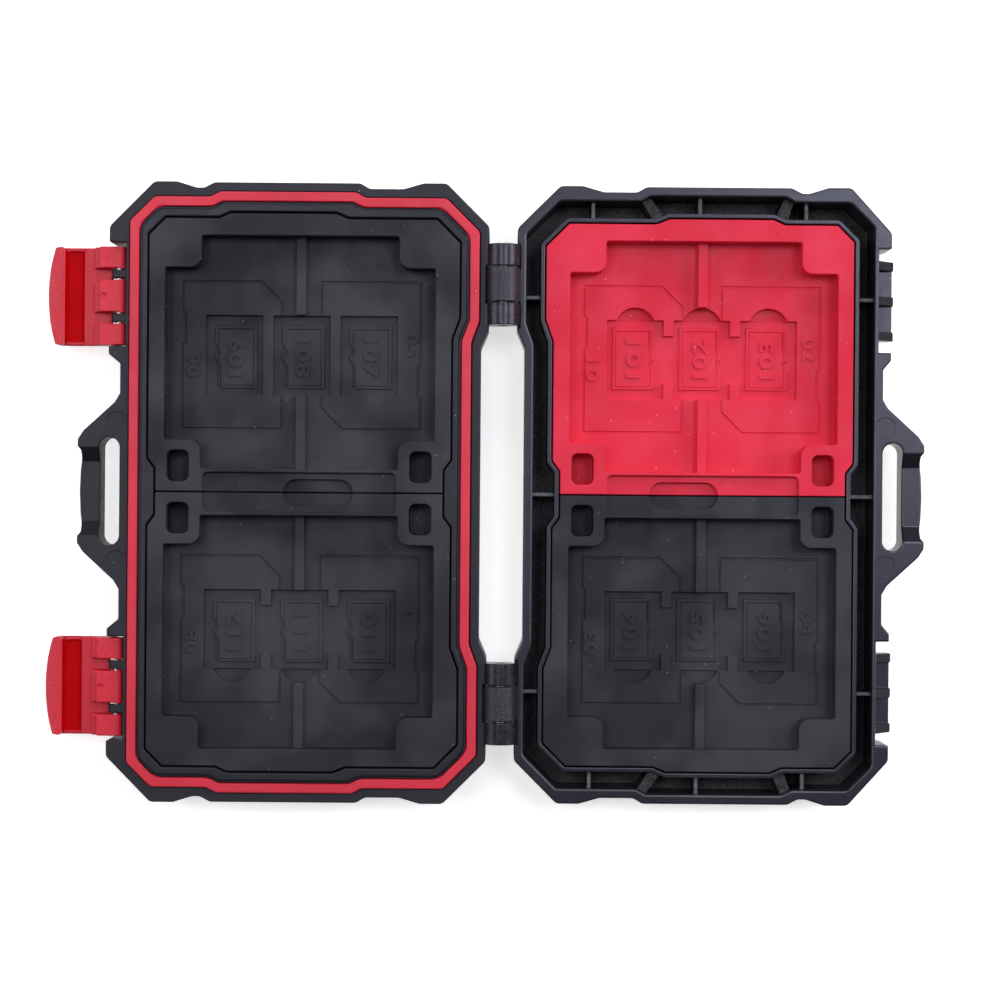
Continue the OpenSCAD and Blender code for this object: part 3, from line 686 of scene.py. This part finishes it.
    @staticmethod
    def means(normals: np.ndarray, vert: np.ndarray) -> tuple[np.ndarray, np.ndarray]:
        """Mean normal of the faces round the vertex of every corner: their sum, brought to unit length.

        Args:
            normals: Weighted normal of each corner's face, zero where the face doesn't count.
            vert: Vertex of each corner.

        Returns:
            The mean at each corner, and whether any face counts there.
        """
        total = np.stack([np.bincount(vert, normals[:, k]) for k in range(3)], axis=-1)
        size = np.linalg.norm(total, axis=1)
        return (total / np.maximum(size, TINY_SIZE)[:, None])[vert], (size > 0)[vert]

    def shade(self, mesh: Mesh) -> None:
        """Sets the corner normals so that flat faces stay flat and roundings run smoothly into them.

        A corner of a flat face takes the face's own normal. A corner of a curved face takes the mean
        of the curved faces round it, and a corner of a rounding takes the mean of the old faces round
        it, or of all faces where there are none; each mean is weighted by area. A mean that leans far
        from its face is replaced by the face's own normal.

        Args:
            mesh: The cut mesh; its roundings have material index one.
        """
        faces = len(mesh.polygons)
        vert = values(mesh.loops, "vertex_index", len(mesh.loops), int)
        face = np.repeat(np.arange(faces), values(mesh.polygons, "loop_total", faces, int))
        normal = values(mesh.polygons, "normal", faces * 3).reshape(-1, 3)[face]
        weighted = normal * values(mesh.polygons, "area", faces)[face][:, None]
        rounding = values(mesh.polygons, "material_index", faces, int)[face] == 1
        curved = ~rounding & (values(mesh.attributes["flat"].data, "value", faces, int)[face] == 0)
        corner = np.where(curved[:, None], self.means(weighted * curved[:, None], vert)[0], normal)
        old, known = self.means(weighted * ~rounding[:, None], vert)
        both = np.where(known[:, None], old, self.means(weighted, vert)[0])
        corner[rounding] = both[rounding]
        lean = (corner * normal).sum(axis=1) < self.least_lean
        corner[lean] = normal[lean]
        mesh.polygons.foreach_set("use_smooth", np.ones(faces, bool))
        mesh.normals_split_custom_set(corner.tolist())

    def build(self) -> None:
        """Makes the piece, rounds it, paints it and lets it ride on its body."""
        piece = link_new(self.node + "_moulding", self.merged())
        for _ in ("faces", "roundings"):
            piece.data.materials.append(self.materials[0])
        bevel = piece.modifiers.new("round", "BEVEL")
        bevel.limit_method = "WEIGHT"
        bevel.width = self.widest * MM
        bevel.segments = self.segments
        bevel.use_clamp_overlap = False
        bevel.material = 1
        view = bpy.context.evaluated_depsgraph_get()
        piece.data = mesh = bpy.data.meshes.new_from_object(piece.evaluated_get(view))
        piece.modifiers.clear()
        self.recut(mesh)
        self.shade(mesh)
        count = len(mesh.polygons)
        rounding = values(mesh.polygons, "material_index", count, int) == 1
        mesh.materials.clear()
        for material in self.materials:
            mesh.materials.append(material)
        index = np.zeros(count, int)
        if self.choose is not None:
            centre = values(mesh.polygons, "center", count * 3).reshape(-1, 3) / MM
            normal = values(mesh.polygons, "normal", count * 3).reshape(-1, 3)
            index = self.choose(centre, normal, rounding)
        mesh.polygons.foreach_set("material_index", index.astype(np.int32))
        finish_piece(piece, self.body, self.slot, self.node)


def finish_piece(piece: Piece, body: str, slot: str, *nodes: str) -> None:
    """Lets a piece ride on its body, hides the solids that it stands for and reports it.

    Args:
        piece: The piece, in place.
        body: Body that carries it.
        slot: Material slot of the record; not used.
        *nodes: Solids that it stands for.
    """
    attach(piece, body)
    if nodes:
        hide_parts(*nodes)
    LOG.info("%s: %d faces on %s", piece.name, len(piece.data.polygons), body)


def add_to_insert(kind: str, spot: Spot, finish: Material, solids: list[Solid],
                  smooth: bool = False) -> None:
    """Joins small solids into one piece that rides on an insert.

    Args:
        kind: First part of the piece's name.
        spot: The insert.
        finish: Its rubber.
        solids: Corners in millimetres and faces of each solid.
        smooth: Whether the faces are shaded as one round surface.
    """
    starts = np.cumsum([0] + [len(points) for points, _ in solids]).tolist()
    faces = [[start + i for i in face] for start, (_, own) in zip(starts, solids) for face in own]
    mesh = bpy.data.meshes.new(f"{kind}_{spot.name}")
    mesh.from_pydata((np.concatenate([points for points, _ in solids]) * MM).tolist(), [], faces)
    mesh.polygons.foreach_set("use_smooth", np.full(len(faces), smooth))
    mesh.materials.append(finish)
    piece = link_new(mesh.name, mesh)
    finish_piece(piece, spot.name, spot.slot)


@dataclass
class Shells:
    """The base and the lid with their walls, knuckles, catches and handle halves."""

    finishes: Finishes
    rim_round: float = 0.4  # roundings
    fine_round: float = 0.2
    step_round: float = 0.3
    corner_round: float = 1.7
    corner_reach: float = 0.2  # how far past the tongue its upright edges may run
    near: float = 0.08  # play of a face's height
    level_up: float = 0.9  # upward part of the normal of a level face
    slope: Span = (0.2, 0.985)
    rib_top: float = 9.6  # moat
    rib_u: tuple[float, ...] = (17.2, 37.8, 58.25)
    rib_half: float = 0.6
    side_v: float = 50.0
    moat_floor: float = 1.9
    inner_top: float = 10.5
    hinge_v: float = 40.0  # hinges
    hinge_half: float = 7.85
    knuckle_half: float = 3.35
    hinge_z: float = 13.05
    knuckle_reach: float = 3.3
    catch_u: float = 73.1  # catches
    catch_v: float = 38.0
    catch_half: float = 9.0
    ledge_z: float = 7.25
    grip_u: float = 76.5  # hollow in the handle's grip
    hollow_v: Span = (5.4, 8.7)
    tongue_over: float = 0.06  # where the tongue starts over the lid's rim
    tongue_u: float = 5.0

    def hinge_faces(self, u: np.ndarray, v: np.ndarray, z: np.ndarray, half: float) -> np.ndarray:
        """Marks the knuckle faces: near the hinge axis and within a half length of the hinge's middle."""
        return (np.hypot(u, z - self.hinge_z) < self.knuckle_reach) & (np.abs(v - self.hinge_v) < half)

    def sloping(self, normal: np.ndarray) -> np.ndarray:
        """Marks the faces that slope, neither level nor upright."""
        return (normal[:, 2] > self.slope[0]) & (normal[:, 2] < self.slope[1])

    def ramp_faces(self, u: np.ndarray, v: np.ndarray, normal: np.ndarray) -> np.ndarray:
        """Marks the two slopes that lead down into the hollow of a handle's grip."""
        return (u > self.grip_u) & (v > self.hollow_v[0]) & (v < self.hollow_v[1]) & self.sloping(normal)

    def base_faces(self, centre: np.ndarray, normal: np.ndarray, rounding: np.ndarray) -> np.ndarray:
        """Marks the parts of the base that have a finish of their own.

        Args:
            centre: Centres of the faces in millimetres.
            normal: Their normals.
            rounding: Which faces are rounded edges.

        Returns:
            One for the rib tops, a painted highlight, two for the moat, painted shade, three for the
            knuckles, four for the rims' rounded inner edges, a painted highlight, five for the slopes of
            the catches and the grip, painted shade, else zero.
        """
        up = normal[:, 2] > self.level_up
        u, v, z = centre[:, 0] + PLAN.mid_u, np.abs(centre[:, 1]), centre[:, 2]
        rib = np.abs(u[:, None] - np.array(self.rib_u)).min(axis=1) < self.rib_half
        top = up & (np.abs(z - self.rib_top) < self.near)
        index = np.zeros(len(centre), int)
        # tops at the ribs' height take the paler finish: painted highlight
        index[top & (rib | (v < self.side_v))] = 1
        # web tops and the moat floor take the darker finish: painted shade
        index[(top & ~rib & (v > self.side_v)) | (up & (np.abs(z - self.moat_floor) < self.near))] = 2
        # inward-facing roundings at the rims, and those at the inner wall's top, take the lighter black:
        # painted highlight
        inward = (u - PLAN.mid_u) * normal[:, 0] + centre[:, 1] * normal[:, 1] < 0.0
        edge = (z > PLAN.base_rim - self.rim_round) | (np.abs(z - self.inner_top) < self.step_round)
        index[rounding & edge & (inward | (z < self.inner_top + self.step_round))] = 4
        # the catches' slopes and the grips' ramps take the duller black: painted shade
        catch = (u > self.catch_u) & (np.abs(v - self.catch_v) < self.catch_half) & (z > self.ledge_z)
        index[(catch & self.sloping(normal)) | self.ramp_faces(u, v, normal)] = 5
        index[self.hinge_faces(u, v, z, self.knuckle_half)] = 3
        return index

    def lid_faces(self, centre: np.ndarray, normal: np.ndarray, rounding: np.ndarray) -> np.ndarray:
        """Marks the parts of the lid that have a finish of their own.

        Args:
            centre: Centres of the faces in millimetres.
            normal: Their normals.
            rounding: Which faces are rounded edges.

        Returns:
            One for the tongue, two for the knuckles, three for the slopes of the grip, painted shade, else
            zero.
        """
        u, v, z = -(centre[:, 0] + PLAN.mid_u), np.abs(centre[:, 1]), centre[:, 2]
        # the tongue takes its glossier, darker black: partly painted shade
        index = ((z > PLAN.lid_rim + self.tongue_over) & (u > self.tongue_u)).astype(int)
        index[self.ramp_faces(u, v, normal)] = 3
        index[self.hinge_faces(u, v, z, self.hinge_half)] = 2
        return index

    def build(self) -> None:
        """Builds both shells."""
        own = self.finishes
        base_rules = (EdgeRule.level(PLAN.base_rim, self.rim_round),)
        low, high = PLAN.lid_rim - self.corner_reach, PLAN.tongue_top + self.corner_reach
        lid_rules = (EdgeRule(low, high, self.corner_round, upright=True),
                     EdgeRule.level(PLAN.lid_rim, self.step_round),
                     EdgeRule.level(PLAN.tongue_top, self.step_round))
        base_look = [own.base_black, own.rib_highlight_grey, own.moat_shade_black, own.knuckle_grained, own.rim_highlight,
                     own.ramp_shade_black]
        lid_look = [own.lid_black, own.tongue_shade_black, own.knuckle_smooth, own.ramp_shade_black]
        DressedNode("base_shell", "base", "shell_black", base_look, edge=self.fine_round,
                    rules=base_rules, choose=self.base_faces).build()
        DressedNode("lid_shell", "lid", "shell_black", lid_look, edge=self.fine_round,
                    rules=lid_rules, choose=self.lid_faces).build()


@dataclass
class Seal:
    """The red seal ring."""

    finishes: Finishes
    edge_round: float = 0.3
    corner_round: float = 1.5
    highest: float = 20.0
    segments: int = 3

    def build(self) -> None:
        """Builds the ring."""
        corners = EdgeRule(0.0, self.highest, self.corner_round, upright=True)
        DressedNode("gasket", "lid", "seal_red", [self.finishes.seal_red], edge=self.edge_round,
                    rules=(corners,), segments=self.segments).build()


@dataclass
class Inserts:
    """The four rubber card inserts with their relief."""

    finishes: Finishes
    edge_round: float = 0.16
    top_round: float = 0.25
    relief_round: float = 0.1
    relief: Span = (1.5, 3.6)  # heights over an insert's underside between which its relief lies

    def build(self) -> None:
        """Builds the inserts."""
        for spot in SPOTS:
            low, high = (spot.bottom + height for height in self.relief)
            rules = (EdgeRule.level(spot.bottom + PLAN.insert_t, self.top_round),
                     EdgeRule(low, high, self.relief_round))
            DressedNode(spot.name, spot.name, spot.slot, [self.finishes.rubber(spot)],
                        edge=self.edge_round, rules=rules).build()


@dataclass
class Pips:
    """Small round pips on the end walls of each insert's pocket, which hold a card from tilting."""

    finishes: Finishes
    wall_u: Span = (12.91, 64.39)
    place_v: Span = (18.9, 35.3)
    height: float = 6.0
    radius: float = 0.5
    proud: float = 0.3
    sunk: float = 0.05
    rings: int = 6
    spokes: int = 16
    crown_angle: float = 0.05

    def dome(self, ahead: int) -> Solid:
        """One pip as half an ellipsoid that stands on a wall and points along X.

        A ring's half width is the radius times the sine of its angle from the crown and its rise is
        the pip's height times the cosine; the rings run from near the crown to the sunken foot, and
        one small face closes the crown.

        Args:
            ahead: One to point along +X, minus one along -X.

        Returns:
            The corners in millimetres and the faces.
        """
        angle = np.linspace(self.crown_angle, math.pi / 2, self.rings)[:, None]
        turn = np.linspace(0.0, 2 * math.pi, self.spokes, endpoint=False)[None, :]
        rise = (self.proud + self.sunk) * np.cos(angle) - self.sunk
        points = np.stack([ahead * (rise + 0.0 * turn), self.radius * np.sin(angle) * np.cos(turn),
                           self.radius * np.sin(angle) * np.sin(turn)], axis=-1).reshape(-1, 3)
        ring, spoke = np.meshgrid(np.arange(self.rings - 1), np.arange(self.spokes), indexing="ij")
        a = (ring * self.spokes + spoke).ravel()
        b = (ring * self.spokes + (spoke + 1) % self.spokes).ravel()
        sides = np.stack([a, a + self.spokes, b + self.spokes, b], axis=-1)
        faces = [*sides.tolist(), list(range(self.spokes))]
        return points, [face[::ahead] for face in faces]

    def build(self) -> None:
        """Builds the pips of the four inserts."""
        for spot in SPOTS:
            solids = []
            for side, wall in zip((1, -1), self.wall_u):
                points, faces = self.dome(side * spot.half.value)
                for v in self.place_v:
                    foot = np.array((spot.x(wall), spot.row.value * v, spot.bottom + self.height))
                    solids.append((points + foot, faces))
            add_to_insert("pips", spot, self.finishes.rubber(spot), solids, smooth=True)


@dataclass
class ShapeFrames:
    """The fine raised line that runs round inside each small card's shape."""

    finishes: Finishes
    half_w: float = 3.35
    half_l: float = 5.4
    line_half: float = 0.16
    proud: float = 0.12
    sunk: float = 0.03

    def line(self, middle: Point) -> Solid:
        """A three-sided bead carried round a rectangle.

        Corner k of the path is the rectangle's corner, with its half sides lengthened or shortened by
        the bead's half width for the outer and inner foot, and the crown stands on the path itself.

        Args:
            middle: Middle of the rectangle on its face, in millimetres.

        Returns:
            The corners in millimetres and the four-sided faces.
        """
        signs = np.array([[-1, -1], [1, -1], [1, 1], [-1, 1]], float)
        grow = np.array([self.line_half, 0.0, -self.line_half])
        rise = np.array([-self.sunk, self.proud, -self.sunk])
        flat = signs[:, None, :] * (np.array([self.half_w, self.half_l]) + grow[None, :, None])
        points = np.concatenate([flat, np.broadcast_to(rise[None, :, None], (4, 3, 1))], axis=-1)
        corner, side = np.meshgrid(np.arange(4), np.arange(3), indexing="ij")
        a = (corner * 3 + side).ravel()
        b = (corner * 3 + (side + 1) % 3).ravel()
        c = ((corner + 1) % 4 * 3 + (side + 1) % 3).ravel()
        d = ((corner + 1) % 4 * 3 + side).ravel()
        return points.reshape(-1, 3) + np.array(middle), np.stack([a, d, c, b], axis=-1).tolist()

    def build(self) -> None:
        """Builds the lines of the four inserts."""
        for spot in SPOTS:
            lines = [self.line(spot.shape_middle(place)) for place in PLACES]
            add_to_insert("frames", spot, self.finishes.rubber(spot), lines)


@dataclass
class SlotNumbers:
    """Plain slot numbers moulded on the inserts, on each small card's shape and beside each card bed."""

    finishes: Finishes
    rise: float = 0.36
    sunk: float = 0.05
    bold: float = 0.018  # of the digits' own height
    edge_round: float = 0.012
    half_depth: float = 0.5
    curve_steps: int = 3
    small_size: Span = (7.6, 2.8)
    full_size: Span = (4.7, 2.6)
    full_u: Span = (17.45, 59.4)
    full_v: Span = (24.4, 28.6)
    small_first: int = 101
    full_first: int = 1

    def glyphs(self, text: str) -> Solid:
        """A number as a thick flat solid, scaled into a unit box.

        Args:
            text: The digits.

        Returns:
            The corners, each coordinate from minus a half to a half, and the faces.
        """
        curve = bpy.data.curves.new("digits", "FONT")
        curve.body = text
        curve.extrude = self.half_depth
        curve.bevel_depth = self.edge_round
        curve.offset = self.bold
        curve.resolution_u = self.curve_steps
        holder = link_new("digits", curve)
        view = bpy.context.evaluated_depsgraph_get()
        mesh = bpy.data.meshes.new_from_object(holder.evaluated_get(view))
        points = values(mesh.vertices, "co", len(mesh.vertices) * 3).reshape(-1, 3)
        faces = [list(face.vertices) for face in mesh.polygons]
        bpy.data.objects.remove(holder)
        bpy.data.curves.remove(curve)
        bpy.data.meshes.remove(mesh)
        low, high = points.min(axis=0), points.max(axis=0)
        return (points - (low + high) / 2) / (high - low), faces

    def placed(self, text: str, middle: Point, size: Span, turn: int) -> Solid:
        """Stands a number on a face, running along Y.

        The unit box is stretched to the size, turned a quarter to either side and set on the face.

        Args:
            text: The digits.
            middle: Middle of the number on its face, in millimetres.
            size: Length along Y and width along X in millimetres.
            turn: One to read towards +Y, minus one to read towards -Y.

        Returns:
            The corners in millimetres and the faces.
        """
        unit, faces = self.glyphs(text)
        x = middle[0] - turn * unit[:, 1] * size[1]
        y = middle[1] + turn * unit[:, 0] * size[0]
        z = middle[2] + (unit[:, 2] + 0.5) * (self.rise + self.sunk) - self.sunk
        return np.stack([x, y, z], axis=-1), faces

    def of_insert(self, spot: Spot, order: int) -> list[Solid]:
        """Makes all numbers of one insert.

        Args:
            spot: The insert.
            order: Count of the inserts before this one.

        Returns:
            The numbers' solids.
        """
        joined = spot.half is Half.BASE or spot.row is Row.LOWER
        solids = []
        for i, place in enumerate(PLACES):
            turn = 1 if place * spot.half.value < 0 or joined else -1
            number = str(self.small_first + len(PLACES) * order + i)
            solids.append(self.placed(number, spot.shape_middle(place), self.small_size, turn))
        inner = (spot.half is Half.LID) == (spot.row is Row.UPPER)
        for i, u in enumerate(self.full_u):
            v = self.full_v[1 - i if inner else i]
            middle = (spot.x(u), spot.row.value * v, spot.bottom + PLAN.pocket_floor)
            turn = 1 if (u < PLAN.mid_u) == (spot.half is Half.BASE) else -1
            number = f"{self.full_first + len(self.full_u) * order + i:02d}"
            solids.append(self.placed(number, middle, self.full_size, turn))
        return solids

    def build(self) -> None:
        """Builds the numbers of the four inserts."""
        for order, spot in enumerate(SPOTS):
            add_to_insert("numbers", spot, self.finishes.rubber(spot), self.of_insert(spot, order))


@dataclass
class Latches:
    """The two red latches, their pins and the hinge pins."""

    finishes: Finishes
    groove_u: Span = (79.95, 84.05)
    groove_z: Span = (7.5, 11.7)
    groove_top: float = 8.8
    level_up: float = 0.9
    least_up: float = -0.1
    latch_round: float = 0.22
    latch_pin_round: float = 0.15
    hinge_pin_round: float = 0.25
    segments: int = 3
    tip_corners: EdgeRule = EdgeRule(low=7.0, high=13.0, width=0.8, upright=True, tall=2.0,
                                     most_turn=math.radians(100))

    def groove_faces(self, centre: np.ndarray, normal: np.ndarray, rounding: np.ndarray) -> np.ndarray:
        """Marks the finger groove, which takes the darker red as painted shade.

        Args:
            centre: Centres of the faces in millimetres.
            normal: Their normals.
            rounding: Which faces are rounded edges.

        Returns:
            One for the groove's floor, walls and roundings, else zero.
        """
        u, z, up = -(centre[:, 0] + PLAN.mid_u), centre[:, 2], normal[:, 2]
        along = (u > self.groove_u[0]) & (u < self.groove_u[1])
        inside = along & (z > self.groove_z[0]) & (z < self.groove_z[1])
        top = (up > self.level_up) & (z > self.groove_top)
        return (inside & ~top & ((up > self.least_up) | rounding)).astype(int)

    def build(self) -> None:
        """Builds the latches and pins."""
        red, steel = [self.finishes.latch_red, self.finishes.latch_groove_shade], [self.finishes.steel]
        for side in (row.name.lower() for row in Row):
            latch = f"latch_{side}"
            DressedNode(latch, latch, "latch_red", red, edge=self.latch_round, rules=(self.tip_corners,),
                        segments=self.segments, choose=self.groove_faces).build()
            DressedNode(f"latch_pin_{side}", "lid", "pin_steel", steel, edge=self.latch_pin_round).build()
            DressedNode(f"hinge_pin_{side}", "base", "pin_steel", steel, edge=self.hinge_pin_round).build()


@dataclass(frozen=True)
class Lamp:
    """A square soft lamp that faces the case, with its place and side in metres and its power in watts."""

    name: str
    place: Point
    side: float
    power: float
    tint: Colour = WHITE

    def hang(self, x: float) -> None:
        """Hangs the lamp.

        Its turn about Z brings its back to the side that it hangs on, and its tilt from straight down
        is the angle whose tangent is the level distance over the drop.

        Args:
            x: X in metres of the point on the floor that it faces.
        """
        data = bpy.data.lights.new(self.name, "AREA")
        data.shape = "SQUARE"
        data.size = self.side
        data.energy = self.power
        data.color = self.tint
        piece = link_new(self.name, data)
        piece.location = self.place
        aim = np.array([x, 0.0, 0.0]) - np.array(self.place)
        tilt = math.atan2(math.hypot(aim[0], aim[1]), -aim[2])
        piece.rotation_euler = (tilt, 0.0, math.atan2(aim[1], aim[0]) - math.pi / 2)


@dataclass
class Studio:
    """White floor, soft lamps and the camera straight over the open case."""

    camera_place: Point = (-38.9, -1.1, 484.0)  # in millimetres
    lens: float = 88.7
    sensor: float = 36.0
    clip: Span = (0.01, 20.0)
    roll: float = 0.008
    sky: float = 0.12
    floor_half: float = 2.5  # the floor, in metres
    floor_level: float = 1.2
    floor_bend: float = 0.12
    floor_drop: float = 0.0001
    floor_points: int = 65
    floor_glow: float = 0.58
    floor_colour: Colour = (0.9, 0.9, 0.9)
    floor_roughness: float = 0.9
    floor_specular: float = 0.1
    lamps: tuple[Lamp, ...] = (
        Lamp("right_box", (0.26, 0.19, 0.90), side=0.28, power=2.7, tint=(0.90, 0.92, 1.0)),
        Lamp("left_box", (-0.28, 0.12, 0.90), side=0.28, power=1.8),
        Lamp("key", (1.10, 0.35, 0.62), side=0.7, power=10.5),
        Lamp("top", (0.0, 1.25, 0.62), side=0.7, power=7.5),
        Lamp("left", (-1.15, 0.20, 0.60), side=0.7, power=5.5),
    )

    def white(self) -> Material:
        """White of the floor, which glows in the camera's and in glossy rays and lights nothing.

        Returns:
            The material.
        """
        nodes = Nodes("floor_white")
        nodes.set(Base_Color=(*self.floor_colour, 1.0), Roughness=self.floor_roughness,
                  Specular_IOR_Level=self.floor_specular, Emission_Color=(*WHITE, 1.0))
        path = nodes.add("ShaderNodeLightPath")
        seen = nodes.add("ShaderNodeMath", operation="MAXIMUM")
        nodes.link(path, "Is Camera Ray", seen, 0)
        nodes.link(path, "Is Glossy Ray", seen, 1)
        glow = nodes.add("ShaderNodeMath", operation="MULTIPLY")
        glow.inputs[1].default_value = self.floor_glow
        nodes.link(seen, 0, glow, 0)
        nodes.link(glow, 0, nodes.shader, "Emission Strength")
        return nodes.material

    def floor(self) -> None:
        """Lays a large white sheet under the case, curved up gently far behind it.

        The sheet is a grid whose height is zero near the case and rises with the square of the
        distance beyond a radius.
        """
        n = self.floor_points
        side = np.linspace(-self.floor_half, self.floor_half, n)
        x, y = np.meshgrid(side, side, indexing="ij")
        reach = np.maximum(np.hypot(x, y) - self.floor_level, 0.0)
        verts = np.stack([x, y, self.floor_bend * reach ** 2 - self.floor_drop], axis=-1).reshape(-1, 3)
        i, j = np.meshgrid(np.arange(n - 1), np.arange(n - 1), indexing="ij")
        a = (i * n + j).ravel()
        faces = np.stack([a, a + n, a + n + 1, a + 1], axis=-1)
        mesh = bpy.data.meshes.new("floor")
        mesh.from_pydata(verts.tolist(), [], faces.tolist())
        mesh.polygons.foreach_set("use_smooth", np.ones(len(faces), bool))
        mesh.materials.append(self.white())
        piece = link_new("floor", mesh)

    def camera(self) -> None:
        """Hangs the camera straight over the case with the photograph's slight roll."""
        data = bpy.data.cameras.new("camera")
        data.lens = self.lens
        data.sensor_width = self.sensor
        data.clip_start, data.clip_end = self.clip
        piece = link_new("camera", data)
        piece.location = Vector(self.camera_place) * MM
        piece.rotation_euler = (0.0, 0.0, self.roll)
        bpy.context.scene.camera = piece

    def build(self) -> None:
        """Sets the stage: floor, camera, lamps, an even sky and the plain view transform."""
        self.floor()
        self.camera()
        for lamp in self.lamps:
            lamp.hang(self.camera_place[0] * MM)
        world = bpy.data.worlds.new("studio")
        world.use_nodes = True
        background = world.node_tree.nodes["Background"]
        background.inputs["Color"].default_value = (*WHITE, 1.0)
        background.inputs["Strength"].default_value = self.sky
        bpy.context.scene.world = world
        bpy.context.scene.view_settings.view_transform = "Standard"


def main() -> None:
    logging.basicConfig(level=logging.INFO, format="%(message)s")
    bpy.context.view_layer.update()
    finishes = Finishes()
    Studio().build()
    for assembly in (Shells, Seal, Inserts, Pips, ShapeFrames, SlotNumbers, Latches):
        LOG.info("%s", assembly.__name__)
        assembly(finishes).build()


if __name__ == "__main__":
    main()
